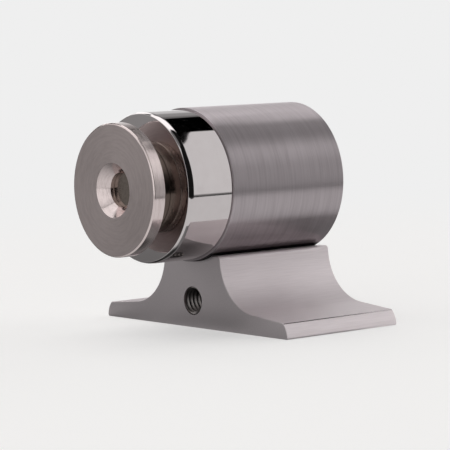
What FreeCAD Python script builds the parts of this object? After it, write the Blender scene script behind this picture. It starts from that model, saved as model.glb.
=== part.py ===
"""Magnetic door stop: a brushed barrel on a saddle foot, with a polished collar,
a magnetic head and the loose keeper disc that the magnet holds.

Frame, in millimetres: the origin is the centre of the floor socket's mouth, in the plane of the foot's
underside. +Z points up, +X runs along the foot's flanges, and the keeper disc faces -Y.
"""
import FreeCAD, Part
import os
from enum import IntEnum
import Sketcher

# Driving dimensions: name, value in millimetres, what it measures
SIZES = (
    ("foot_length", 60.0, "foot, from flange tip to flange tip"),
    ("foot_depth", 30.0, "foot, front to back"),
    ("tip_radius", 4.6, "rounding of a flange tip, centred on the underside"),
    ("tip_height", 3.2, "height of the crest where the tip's rounding ends"),
    ("flange_rise", 0.85, "rise of the flange from that crest to the neck's fillet"),
    ("neck_fillet_radius", 11.0, "hollow flank between flange and neck"),
    ("neck_width", 18.6, "neck, at its shoulders"),
    ("seat_width", 13.0, "round seat, between the shoulders"),
    ("shoulder_radius", 0.8, "rounding of the neck's upper corners"),
    ("crest_radius", 0.9, "rounding of the crest between tip and flange"),
    ("underside_radius", 0.4, "edge between a flange tip and the underside"),
    ("foot_edge", 0.12, "broken edge round the foot's front and back outlines"),
    ("socket_diameter", 10.0, "floor stud's socket"),
    ("socket_depth", 9.0, "floor stud's socket"),
    ("set_screw_height", 5.6, "set screw's axis above the floor"),
    ("set_screw_diameter", 6.0, "M6 thread"),
    ("set_screw_length", 5.0, "set screw, end to end"),
    ("set_screw_recess", 4.5, "set screw's socket end behind the foot's front face"),
    ("set_screw_key", 3.0, "hexagon socket across flats"),
    ("set_screw_key_depth", 2.2, "hexagon socket's depth"),
    ("set_screw_point", 0.8, "length of the coned point"),
    ("axis_height", 30.0, "barrel's axis above the floor"),
    ("barrel_diameter", 32.0, "barrel"),
    ("barrel_length", 30.0, "barrel, without the collar"),
    ("barrel_overhang", 1.3, "barrel's front edge ahead of the foot's front face"),
    ("barrel_edge", 0.15, "chamfer on both ends of the barrel"),
    ("spigot_diameter", 20.0, "collar's spigot in the barrel"),
    ("spigot_length", 10.0, "collar's spigot"),
    ("spigot_edge", 0.8, "chamfer on the spigot's end"),
    ("spigot_end_gap", 0.5, "room behind the spigot"),
    ("collar_diameter", 31.2, "collar"),
    ("collar_length", 11.2, "collar, ahead of the barrel"),
    ("collar_front_edge", 0.5, "bright chamfer round the collar's face"),
    ("collar_back_edge", 0.15, "chamfer that makes the groove against the barrel"),
    ("magnet_diameter", 18.8, "magnet and pole plate"),
    ("magnet_thickness", 3.6, "magnet"),
    ("magnet_recess", 0.8, "how deep the magnet sits in the collar's face"),
    ("magnet_edge", 0.2, "chamfer on magnet and pole plate"),
    ("pole_plate_thickness", 1.7, "steel plate ahead of the magnet"),
    ("keeper_diameter", 27.4, "keeper disc"),
    ("keeper_thickness", 3.0, "keeper disc"),
    ("keeper_hole", 7.0, "hole through the keeper disc"),
    ("keeper_countersink", 11.2, "mouth of the keeper's countersink, cut at 90 degrees"),
    ("keeper_front_edge", 0.3, "bright chamfer round the keeper's face"),
    ("keeper_back_edge", 0.2, "chamfer on the keeper's back"),
    ("barrel_screw_diameter", 5.0, "M5 thread"),
    ("barrel_screw_length", 14.0, "M5 countersunk screw, overall"),
    ("barrel_screw_head", 9.4, "countersunk head"),
    ("barrel_screw_hole", 5.5, "clearance hole through the foot's web"),
    ("barrel_screw_key", 3.0, "hexagon socket across flats"),
    ("barrel_screw_key_depth", 1.8, "hexagon socket's depth"),
    ("screw_end_edge", 0.5, "chamfer on a screw's end"),
    ("head_below_face", 0.1, "how far a countersunk head sits below the face round it"),
    ("thread_runout", 1.5, "room beyond a screw's end"),
    ("fit_clearance", 0.05, "radial room in the seat, spigot and recess fits"),
)

# Places along Y, each worked out from the piece behind it
BARREL_FRONT = "-(dims.foot_depth / 2 + dims.barrel_overhang)"
COLLAR_FRONT = f"({BARREL_FRONT} - dims.collar_length)"
MAGNET_FRONT = f"({COLLAR_FRONT} + dims.magnet_recess - dims.magnet_thickness)"
POLE_PLATE_FRONT = f"({MAGNET_FRONT} - dims.pole_plate_thickness)"
KEEPER_FRONT = f"({POLE_PLATE_FRONT} - dims.keeper_thickness)"
SET_SCREW_FRONT = "(-dims.foot_depth / 2 + dims.set_screw_recess)"

# Seat for the barrel: a slightly larger radius, drawn from higher up so that the barrel rests on its bottom
SEAT_RADIUS = "(dims.barrel_diameter / 2 + dims.fit_clearance)"
SEAT_CENTRE = "(dims.axis_height + dims.fit_clearance)"


class Axis(IntEnum):
    """A sketch's own axes, as its constraints number them."""

    X = -1
    Y = -2


class EdgePoint(IntEnum):
    """The points of a sketch's edge, as its constraints number them."""

    START = 1
    END = 2
    CENTRE = 3


START, END, CENTRE = EdgePoint
ORIGIN_POINT = (Axis.X, START)


def make_sheet(doc):
    """Fill the spreadsheet that every sketch, feature and placement reads."""
    sheet = doc.addObject("Spreadsheet::Sheet", "dims")
    for row, (name, value, meaning) in enumerate(SIZES, start=1):
        sheet.set(f"A{row}", name)
        sheet.set(f"B{row}", str(value))
        sheet.set(f"C{row}", meaning)
        sheet.setAlias(f"B{row}", name)
    doc.recompute()
    return sheet


doc = FreeCAD.newDocument("magnetic_door_stop")
sheet = make_sheet(doc)


def number(expression):
    """Return an expression's value, for the place where a sketch starts solving."""
    return float(sheet.evalExpression(expression))


def new_body(label, along_y="0", height="0"):
    """Start a sub-part, placed in the plane of symmetry at a distance along Y and a height."""
    body = doc.addObject("PartDesign::Body", label)
    body.Label = label
    body.setExpression("Placement.Base.y", along_y)
    body.setExpression("Placement.Base.z", height)
    return body


def origin_feature(body, role):
    """Find one of the body's own origin planes or axes."""
    return next(item for item in body.Origin.OriginFeatures if item.Role == role)


def new_sketch(body, name, plane, offset="0"):
    """Add a sketch to one of the body's origin planes, moved along the plane's normal."""
    sketch = body.newObject("Sketcher::SketchObject", f"{body.Label}_{name}")
    sketch.AttachmentSupport = [(origin_feature(body, plane), "")]
    sketch.MapMode = "FlatFace"
    sketch.setExpression("AttachmentOffset.Base.z", offset)
    return sketch


def pin_coordinate(sketch, kind, edge, point, expression):
    """Fix one coordinate of a sketch point. Zero puts it on the axis, a negative value is measured back."""
    value = number(expression)
    if abs(value) < 1e-9:
        axis = Axis.Y if kind == "DistanceX" else Axis.X
        sketch.addConstraint(Sketcher.Constraint("PointOnObject", edge, point, axis))
        return
    if value > 0:
        index = sketch.addConstraint(Sketcher.Constraint(kind, *ORIGIN_POINT, edge, point, value))
        sketch.setExpression(f"Constraints[{index}]", expression)
    else:
        index = sketch.addConstraint(Sketcher.Constraint(kind, edge, point, *ORIGIN_POINT, -value))
        sketch.setExpression(f"Constraints[{index}]", f"-({expression})")


def draw_outline(sketch, corners):
    """Draw a closed outline of straight edges, with both coordinates of each corner bound to sizes."""
    points = [FreeCAD.Vector(number(x), number(y), 0) for x, y in corners]
    following = points[1:] + points[:1]
    edges = [sketch.addGeometry(Part.LineSegment(a, b), False) for a, b in zip(points, following)]
    for edge, after in zip(edges, edges[1:] + edges[:1]):
        sketch.addConstraint(Sketcher.Constraint("Coincident", edge, END, after, START))
    for edge, (x, y) in zip(edges, corners):
        pin_coordinate(sketch, "DistanceX", edge, START, x)
        pin_coordinate(sketch, "DistanceY", edge, START, y)


def turn(body, corners):
    """Turn a solid about the body's Y axis from an outline of (radius, distance from the front)."""
    sketch = new_sketch(body, "section", "XY_Plane")
    draw_outline(sketch, corners)
    solid = body.newObject("PartDesign::Revolution", f"{body.Label}_turned")
    solid.Profile = sketch
    solid.ReferenceAxis = (sketch, ["V_Axis"])
    solid.Angle = 360
    doc.recompute()
    return solid


def bore_down(body, name, plane, axis, corners):
    """Cut a round hole whose outline stands beside one of the sketch's own axes."""
    sketch = new_sketch(body, f"{name}_outline", plane)
    draw_outline(sketch, corners)
    before = body.Shape.Volume
    cut = body.newObject("PartDesign::Groove", f"{body.Label}_{name}")
    cut.Profile = sketch
    cut.ReferenceAxis = (sketch, [axis])
    cut.Angle = 360
    doc.recompute()
    require(body.Shape.Volume < before, f"{cut.Name} removes nothing")
    return cut


def pocket(body, name, sketch, depth, reversed_cut=False):
    """Cut a sketch into the body, to a depth bound to a size."""
    before = body.Shape.Volume
    cut = body.newObject("PartDesign::Pocket", f"{body.Label}_{name}")
    cut.Profile = sketch
    cut.Reversed = reversed_cut
    cut.setExpression("Length", depth)
    doc.recompute()
    require(body.Shape.Volume < before, f"{cut.Name} removes nothing")
    return cut


def key_socket(body, plane, across_flats, depth, offset="0", reversed_cut=False):
    """Sink a hexagon socket in a screw's end."""
    sketch = new_sketch(body, "key_outline", plane, offset)
    corner_radius = f"{across_flats} / sqrt(3)"
    corners = [(f"{corner_radius} * cos({angle})", f"{corner_radius} * sin({angle})")
               for angle in range(0, 360, 60)]
    draw_outline(sketch, corners)
    return pocket(body, "key", sketch, depth, reversed_cut)


def edges_like(shape, test):
    """Name the edges of a shape that pass a test."""
    return [f"Edge{index}" for index, edge in enumerate(shape.Edges, start=1) if test(edge)]


def require(condition, message):
    """Stop the build with a plain message."""
    if not condition:
        raise RuntimeError(message)


def make_foot():
    """Saddle foot: one section along Y, with the stud socket below and a threaded hole in front."""
    body = new_body("foot")
    sketch = new_sketch(body, "section", "XZ_Plane")
    draw_foot_section(sketch)
    half = body.newObject("PartDesign::Pad", "foot_half")
    half.Profile = sketch
    half.Midplane = True
    half.setExpression("Length", "dims.foot_depth")
    doc.recompute()

    whole = body.newObject("PartDesign::Mirrored", "foot_whole")
    whole.Originals = [half]
    whole.MirrorPlane = (origin_feature(body, "YZ_Plane"), [""])
    body.Tip = whole
    doc.recompute()

    neck_x = number("dims.neck_width / 2")
    crest_z = number("dims.tip_height")
    tip_x = number("dims.foot_length / 2")

    def along_foot(edge):
        return edge.BoundBox.XLength < 1e-6 and edge.BoundBox.ZLength < 1e-6

    def on_shoulder(edge):
        return along_foot(edge) and abs(abs(edge.BoundBox.XMin) - neck_x) < 1e-6

    def on_crest(edge):
        return along_foot(edge) and abs(edge.BoundBox.ZMin - crest_z) < 1e-6

    def at_tip(edge):
        return along_foot(edge) and abs(abs(edge.BoundBox.XMin) - tip_x) < 1e-6

    rounded = whole
    for name, test, radius in (("shoulders", on_shoulder, "dims.shoulder_radius"),
                               ("crests", on_crest, "dims.crest_radius"),
                               ("underside_edges", at_tip, "dims.underside_radius")):
        fillet = body.newObject("PartDesign::Fillet", f"foot_{name}")
        fillet.Base = (rounded, edges_like(rounded.Shape, test))
        fillet.setExpression("Radius", radius)
        doc.recompute()
        rounded = fillet

    end_y = number("dims.foot_depth / 2")

    def on_end_face(edge):
        box = edge.BoundBox
        return box.YLength < 1e-6 and abs(abs(box.YMin) - end_y) < 1e-6

    chamfered = body.newObject("PartDesign::Chamfer", "foot_outline_edges")
    chamfered.Base = (rounded, edges_like(rounded.Shape, on_end_face))
    chamfered.setExpression("Size", "dims.foot_edge")
    doc.recompute()

    head_radius = "(dims.barrel_screw_head / 2 + dims.head_below_face)"
    countersink_top = f"(dims.socket_depth + {head_radius} - dims.barrel_screw_hole / 2)"
    bore_down(body, "stud_socket", "XZ_Plane", "V_Axis", [
        ("0", "0"),
        ("dims.socket_diameter / 2", "0"),
        ("dims.socket_diameter / 2", "dims.socket_depth"),
        (head_radius, "dims.socket_depth"),
        ("dims.barrel_screw_hole / 2", countersink_top),
        ("dims.barrel_screw_hole / 2", "dims.axis_height"),
        ("0", "dims.axis_height"),
    ])

    front = new_sketch(body, "set_screw_outline", "XZ_Plane", "dims.foot_depth / 2")
    draw_circle(front, "0", "dims.set_screw_height", "dims.set_screw_diameter / 2")
    pocket(body, "set_screw_hole", front, "dims.foot_depth / 2")
    return body


def draw_circle(sketch, x, y, radius):
    """Draw a circle with its centre and radius bound to sizes."""
    centre = FreeCAD.Vector(number(x), number(y), 0)
    circle = Part.Circle(centre, FreeCAD.Vector(0, 0, 1), number(radius))
    edge = sketch.addGeometry(circle, False)
    pin_coordinate(sketch, "DistanceX", edge, CENTRE, x)
    pin_coordinate(sketch, "DistanceY", edge, CENTRE, y)
    index = sketch.addConstraint(Sketcher.Constraint("Radius", edge, number(radius)))
    sketch.setExpression(f"Constraints[{index}]", radius)


def draw_foot_section(sketch):
    """Draw half of the foot's section: underside, rounded tip, flange, hollow flank, shoulder and seat."""
    half_length = number("dims.foot_length / 2")
    tip_radius = number("dims.tip_radius")
    tip_height = number("dims.tip_height")
    flange_top = tip_height + number("dims.flange_rise")
    flank_radius = number("dims.neck_fillet_radius")
    neck_x = number("dims.neck_width / 2")
    seat_x = number("dims.seat_width / 2")
    seat_radius = number(SEAT_RADIUS)
    seat_centre_z = number(SEAT_CENTRE)

    up = FreeCAD.Vector(0, 0, 1)
    tip_centre = FreeCAD.Vector(half_length - tip_radius, 0, 0)
    crest_run = (tip_radius ** 2 - tip_height ** 2) ** 0.5
    crest = tip_centre + FreeCAD.Vector(crest_run, tip_height, 0)
    shoulder_z = seat_centre_z - (seat_radius ** 2 - seat_x ** 2) ** 0.5
    flank_centre = FreeCAD.Vector(neck_x + flank_radius, flange_top + flank_radius, 0)
    flange_end = FreeCAD.Vector(flank_centre.x, flange_top, 0)
    seat_bottom = FreeCAD.Vector(0, seat_centre_z - seat_radius, 0)
    seat_end = FreeCAD.Vector(seat_x, shoulder_z, 0)
    shoulder_end = FreeCAD.Vector(neck_x, shoulder_z, 0)

    underside = sketch.addGeometry(Part.LineSegment(FreeCAD.Vector(), FreeCAD.Vector(half_length, 0, 0)))
    tip = sketch.addGeometry(arc_between(tip_centre, FreeCAD.Vector(half_length, 0, 0), crest, up))
    flange = sketch.addGeometry(Part.LineSegment(crest, flange_end))
    flank = sketch.addGeometry(arc_between(flank_centre, shoulder_end, flange_end, up))
    shoulder = sketch.addGeometry(Part.LineSegment(shoulder_end, seat_end))
    seat_centre = FreeCAD.Vector(0, seat_centre_z, 0)
    seat = sketch.addGeometry(arc_between(seat_centre, seat_bottom, seat_end, up))
    middle = sketch.addGeometry(Part.LineSegment(seat_bottom, FreeCAD.Vector()))

    for constraint in (
            ("Coincident", underside, START, *ORIGIN_POINT),
            ("Horizontal", underside),
            ("Coincident", underside, END, tip, START),
            ("PointOnObject", tip, CENTRE, Axis.X),
            ("Coincident", tip, END, flange, START),
            ("Tangent", flange, END, flank, END),
            ("Coincident", flank, START, shoulder, START),
            ("Horizontal", shoulder),
            ("Coincident", shoulder, END, seat, END),
            ("PointOnObject", seat, CENTRE, Axis.Y),
            ("PointOnObject", seat, START, Axis.Y),
            ("Coincident", seat, START, middle, START),
            ("Coincident", middle, END, *ORIGIN_POINT)):
        sketch.addConstraint(Sketcher.Constraint(*constraint))

    pin_coordinate(sketch, "DistanceX", underside, END, "dims.foot_length / 2")
    pin_coordinate(sketch, "DistanceY", tip, END, "dims.tip_height")
    pin_coordinate(sketch, "DistanceY", flange, END, "dims.tip_height + dims.flange_rise")
    pin_coordinate(sketch, "DistanceX", shoulder, START, "dims.neck_width / 2")
    pin_coordinate(sketch, "DistanceX", shoulder, END, "dims.seat_width / 2")
    pin_coordinate(sketch, "DistanceY", seat, CENTRE, SEAT_CENTRE)
    for edge, radius in ((tip, "dims.tip_radius"),
                         (flank, "dims.neck_fillet_radius"),
                         (seat, SEAT_RADIUS)):
        index = sketch.addConstraint(Sketcher.Constraint("Radius", edge, number(radius)))
        sketch.setExpression(f"Constraints[{index}]", radius)


def arc_between(centre, start, end, normal):
    """Make a sketch arc that runs anticlockwise from one point to another about a centre."""
    circle = Part.Circle(centre, normal, (start - centre).Length)
    return Part.ArcOfCircle(circle, circle.parameter(start), circle.parameter(end))


def make_barrel():
    """Barrel: turned bar with a blind bore for the spigot and a tapped hole for the foot's screw."""
    body = new_body("barrel", BARREL_FRONT, "dims.axis_height")
    radius = "dims.barrel_diameter / 2"
    bore_radius = "(dims.spigot_diameter / 2 + dims.fit_clearance)"
    bore_end = "(dims.spigot_length + dims.spigot_end_gap)"
    turn(body, [
        ("0", bore_end),
        (bore_radius, bore_end),
        (bore_radius, "0"),
        (f"{radius} - dims.barrel_edge", "0"),
        (radius, "dims.barrel_edge"),
        (radius, "dims.barrel_length - dims.barrel_edge"),
        (f"{radius} - dims.barrel_edge", "dims.barrel_length"),
        ("0", "dims.barrel_length"),
    ])
    web = "(dims.axis_height - dims.barrel_diameter / 2 - dims.socket_depth)"
    hole_depth = f"(dims.barrel_screw_length + dims.head_below_face - {web} + dims.thread_runout)"
    below = new_sketch(body, "screw_hole_outline", "XY_Plane", f"{hole_depth} - {radius}")
    draw_circle(below, "0", f"-({BARREL_FRONT})", "dims.barrel_screw_diameter / 2")
    pocket(body, "screw_hole", below, radius)
    return body


def make_collar():
    """Collar: polished ring with a flat face, a recess for the magnet and a spigot behind."""
    body = new_body("collar", COLLAR_FRONT, "dims.axis_height")
    radius = "dims.collar_diameter / 2"
    spigot_radius = "dims.spigot_diameter / 2"
    spigot_end = "(dims.collar_length + dims.spigot_length)"
    recess_radius = "(dims.magnet_diameter / 2 + dims.fit_clearance)"
    turn(body, [
        ("0", "dims.magnet_recess"),
        (recess_radius, "dims.magnet_recess"),
        (recess_radius, "0"),
        (f"{radius} - dims.collar_front_edge", "0"),
        (radius, "dims.collar_front_edge"),
        (radius, "dims.collar_length - dims.collar_back_edge"),
        (f"{radius} - dims.collar_back_edge", "dims.collar_length"),
        (spigot_radius, "dims.collar_length"),
        (spigot_radius, f"{spigot_end} - dims.spigot_edge"),
        (f"{spigot_radius} - dims.spigot_edge", spigot_end),
        ("0", spigot_end),
    ])
    return body


def make_head_disc(label, front, thickness):
    """A plain disc of the magnetic head, with both edges chamfered: the magnet or its pole plate."""
    body = new_body(label, front, "dims.axis_height")
    radius = "dims.magnet_diameter / 2"
    turn(body, [
        ("0", "0"),
        (f"{radius} - dims.magnet_edge", "0"),
        (radius, "dims.magnet_edge"),
        (radius, f"{thickness} - dims.magnet_edge"),
        (f"{radius} - dims.magnet_edge", thickness),
        ("0", thickness),
    ])
    return body


def make_keeper_disc():
    """Loose strike plate: a turned disc with a countersunk hole."""
    body = new_body("keeper_disc", KEEPER_FRONT, "dims.axis_height")
    radius = "dims.keeper_diameter / 2"
    hole_radius = "dims.keeper_hole / 2"
    mouth_radius = "dims.keeper_countersink / 2"
    turn(body, [
        (mouth_radius, "0"),
        (f"{radius} - dims.keeper_front_edge", "0"),
        (radius, "dims.keeper_front_edge"),
        (radius, "dims.keeper_thickness - dims.keeper_back_edge"),
        (f"{radius} - dims.keeper_back_edge", "dims.keeper_thickness"),
        (hole_radius, "dims.keeper_thickness"),
        (hole_radius, f"{mouth_radius} - {hole_radius}"),
    ])
    return body


def make_barrel_screw():
    """Countersunk screw from the stud socket up through the foot's web into the barrel."""
    body = new_body("barrel_screw", "0", "dims.socket_depth + dims.head_below_face")
    head_radius = "dims.barrel_screw_head / 2"
    shank_radius = "dims.barrel_screw_diameter / 2"
    sketch = new_sketch(body, "section", "XZ_Plane")
    draw_outline(sketch, [
        ("0", "0"),
        (head_radius, "0"),
        (shank_radius, f"{head_radius} - {shank_radius}"),
        (shank_radius, "dims.barrel_screw_length - dims.screw_end_edge"),
        (f"{shank_radius} - dims.screw_end_edge", "dims.barrel_screw_length"),
        ("0", "dims.barrel_screw_length"),
    ])
    solid = body.newObject("PartDesign::Revolution", "barrel_screw_turned")
    solid.Profile = sketch
    solid.ReferenceAxis = (sketch, ["V_Axis"])
    solid.Angle = 360
    doc.recompute()
    key_socket(body, "XY_Plane", "dims.barrel_screw_key", "dims.barrel_screw_key_depth", reversed_cut=True)
    return body


def make_set_screw():
    """Socket set screw with a coned point, behind the mouth of the foot's threaded hole."""
    body = new_body("set_screw", SET_SCREW_FRONT, "dims.set_screw_height")
    radius = "dims.set_screw_diameter / 2"
    turn(body, [
        ("0", "0"),
        (f"{radius} - dims.screw_end_edge", "0"),
        (radius, "dims.screw_end_edge"),
        (radius, "dims.set_screw_length - dims.set_screw_point"),
        (f"{radius} - dims.set_screw_point", "dims.set_screw_length"),
        ("0", "dims.set_screw_length"),
    ])
    key_socket(body, "XZ_Plane", "dims.set_screw_key", "dims.set_screw_key_depth")
    return body


def check_document():
    """Stop if any object of the document failed to build."""
    for item in doc.Objects:
        failed = {"Invalid", "Error"} & set(item.State)
        require(not failed, f"{item.Name} is {sorted(failed)}")


def export_parts(bodies):
    """Write each sub-part's solid to its own STEP file."""
    for body in bodies:
        shape = body.Shape
        require(not shape.isNull() and shape.isValid(), f"{body.Label} has no valid shape")
    os.makedirs("parts", exist_ok=True)
    for body in bodies:
        body.Shape.exportStep(f"parts/{body.Label}.step")
        print(f"{body.Label}: {len(body.Shape.Solids)} solid, {body.Shape.Volume:.1f} mm3")


parts = [
    make_foot(),
    make_barrel(),
    make_collar(),
    make_head_disc("magnet", MAGNET_FRONT, "dims.magnet_thickness"),
    make_head_disc("pole_plate", POLE_PLATE_FRONT, "dims.pole_plate_thickness"),
    make_keeper_disc(),
    make_barrel_screw(),
    make_set_screw(),
]
doc.recompute()
check_document()
export_parts(parts)
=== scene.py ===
"""Looks for the magnetic door stop: finishes, fine edges, the screw thread, and a plain pale studio.

Everything is in the frame of the solids: +Z up, the keeper disc faces -Y, and the turned pieces share one
axis that runs along Y. Sizes are written in millimetres and turned to metres where a mesh is made.
"""

import logging
import math
from dataclasses import dataclass
from enum import Enum
from typing import Any

import bmesh
import bpy
from bmesh.types import BMesh
from bpy.types import Material, Node, NodeSocket, NodeTree, Object
from mathutils import Matrix, Vector

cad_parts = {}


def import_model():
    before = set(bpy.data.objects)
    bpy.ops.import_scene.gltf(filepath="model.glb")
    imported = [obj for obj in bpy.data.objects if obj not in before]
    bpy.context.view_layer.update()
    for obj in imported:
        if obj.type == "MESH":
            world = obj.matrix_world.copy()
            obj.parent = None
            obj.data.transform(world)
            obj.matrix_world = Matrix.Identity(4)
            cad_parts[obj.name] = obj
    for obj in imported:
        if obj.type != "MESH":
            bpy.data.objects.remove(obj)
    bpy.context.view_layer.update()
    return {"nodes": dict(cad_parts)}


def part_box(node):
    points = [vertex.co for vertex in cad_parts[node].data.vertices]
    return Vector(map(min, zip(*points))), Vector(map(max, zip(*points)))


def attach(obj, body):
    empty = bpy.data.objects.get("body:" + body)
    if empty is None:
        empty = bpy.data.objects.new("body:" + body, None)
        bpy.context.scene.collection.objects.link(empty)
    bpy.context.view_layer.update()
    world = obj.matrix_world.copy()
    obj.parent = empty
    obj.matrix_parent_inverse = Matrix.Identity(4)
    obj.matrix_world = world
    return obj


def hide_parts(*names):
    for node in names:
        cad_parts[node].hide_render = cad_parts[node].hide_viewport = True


LOG = logging.getLogger("door_stop")
BODY = "root"

# Metres in a millimetre, and the distance in metres within which two points are one
MM = 0.001
SAME_POINT = 1e-7

# Noise seldom leaves the range between these, and streaks stand out from the third one up
NOISE_LOW = 0.3
NOISE_HIGH = 0.7
STREAKS_FROM = 0.35

# The normal's Y up to which a surface is a side along the axis, and from which it is a face across it
SIDE_UP_TO = 0.8
FACE_FROM = 0.98

# Eases in and out between two values
SMOOTH = {"interpolation_type": "SMOOTHSTEP"}

# How far a direction has to point at a wall of the tent to see that wall
BARELY_AHEAD = 0.001


def srgb(code: str) -> tuple[float, float, float, float]:
    """Turn an sRGB hex value to linear colour.

    Args:
        code: six hexadecimal digits, such as "c4bfbc".

    Returns:
        Red, green, blue and an alpha of 1.
    """
    channels = [int(code[i:i + 2], 16) / 255 for i in (0, 2, 4)]
    red, green, blue = (c / 12.92 if c <= 0.04045 else ((c + 0.055) / 1.055) ** 2.4 for c in channels)
    return red, green, blue, 1.0


def add_node(tree: NodeTree, kind: str, settings: dict[str, Any] | None = None,
             inputs: dict[int | str, Any] | None = None) -> Node:
    """Add one node with its settings, and a link or a value on each named input.

    Args:
        tree: the node tree.
        kind: the node's type.
        settings: properties of the node.
        inputs: input index or name, and what to link or the value to set. A node is linked by its first
            output.

    Returns:
        The node.
    """
    node = tree.nodes.new(kind)
    for name, value in (settings or {}).items():
        setattr(node, name, value)
    for name, value in (inputs or {}).items():
        if isinstance(value, Node):
            value = value.outputs[0]
        if isinstance(value, NodeSocket):
            tree.links.new(value, node.inputs[name])
        else:
            node.inputs[name].default_value = value
    return node


def new_material(name: str) -> tuple[Material, NodeTree]:
    """Start an empty material.

    Args:
        name: the material's name.

    Returns:
        The material and its node tree.
    """
    material = bpy.data.materials.new(name)
    material.use_nodes = True
    material.node_tree.nodes.clear()
    return material, material.node_tree


def finish_material(tree: NodeTree, shader: Node) -> None:
    """Link a shader to the material's output.

    Args:
        tree: the material's node tree.
        shader: the node whose first output is the surface.
    """
    add_node(tree, "ShaderNodeOutputMaterial", None, {"Surface": shader})


def streaked_colour(tree: NodeTree, lines: NodeSocket, colour: str, streak_colour: str,
                    ) -> tuple[NodeSocket, NodeSocket]:
    """Colour a metal by the fine lines on it.

    Args:
        tree: the material's node tree.
        lines: the noise that draws the lines.
        colour: the metal's colour between streaks, as an sRGB hex value.
        streak_colour: its colour on a streak.

    Returns:
        The colour's socket, and the socket that is 1 on a streak and 0 between streaks.
    """
    streaks = add_node(tree, "ShaderNodeMapRange", SMOOTH, {
        "Value": lines, "From Min": STREAKS_FROM, "From Max": NOISE_HIGH})
    mixed = add_node(tree, "ShaderNodeMix", {"data_type": "RGBA"}, {
        "Factor": streaks, "A": srgb(colour), "B": srgb(streak_colour)})
    return mixed.outputs["Result"], streaks.outputs[0]


def cut_roughness(tree: NodeTree, direction: Node, side: float, face: float) -> NodeSocket:
    """Give the sides along Y and the faces across it the roughness that each one's own cut left.

    Args:
        tree: the material's node tree.
        direction: the way the surface faces, split into its axes.
        side: the roughness of a side along Y.
        face: the roughness of a face across Y.

    Returns:
        The roughness's socket.
    """
    along = add_node(tree, "ShaderNodeMath", {"operation": "ABSOLUTE"}, {0: direction.outputs["Y"]})
    mixed = add_node(tree, "ShaderNodeMapRange", SMOOTH, {
        "Value": along, "From Min": SIDE_UP_TO, "From Max": FACE_FROM,
        "To Min": side, "To Max": face})
    return mixed.outputs[0]


@dataclass(frozen=True)
class PaintedCreviceShade:
    """Painted shade under a barrel: a dark strip along the crevice where it sits in the foot's seat.

    It is only where the surface faces down, with the Z of its normal below faces_down.
    """

    half_width_mm: float
    soft_mm: float
    colour: str
    faces_down: float = -0.5

    def darken(self, tree: NodeTree, place: Node, direction: Node, colour: NodeSocket) -> NodeSocket:
        """Mix the painted shade's colour in along the underside of the round side, and on no flat face.

        Args:
            tree: the material's node tree.
            place: the place from the axis, split into its axes.
            direction: the way the surface faces, split into its axes.
            colour: the brushed colour.

        Returns:
            The socket of the two colours together.
        """
        sideways = add_node(tree, "ShaderNodeMath", {"operation": "ABSOLUTE"}, {0: place.outputs["X"]})
        near = add_node(tree, "ShaderNodeMapRange", SMOOTH, {
            "Value": sideways, "From Min": (self.half_width_mm + self.soft_mm) * MM,
            "From Max": (self.half_width_mm - self.soft_mm) * MM})
        faces_down = add_node(tree, "ShaderNodeMath", {"operation": "LESS_THAN"}, {
            0: direction.outputs["Z"], 1: self.faces_down})
        in_crevice_shade = add_node(tree, "ShaderNodeMath", {"operation": "MULTIPLY"}, {
            0: near, 1: faces_down})
        mixed = add_node(tree, "ShaderNodeMix", {"data_type": "RGBA"}, {
            "Factor": in_crevice_shade, "A": colour, "B": srgb(self.colour)})
        return mixed.outputs["Result"]


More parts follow.
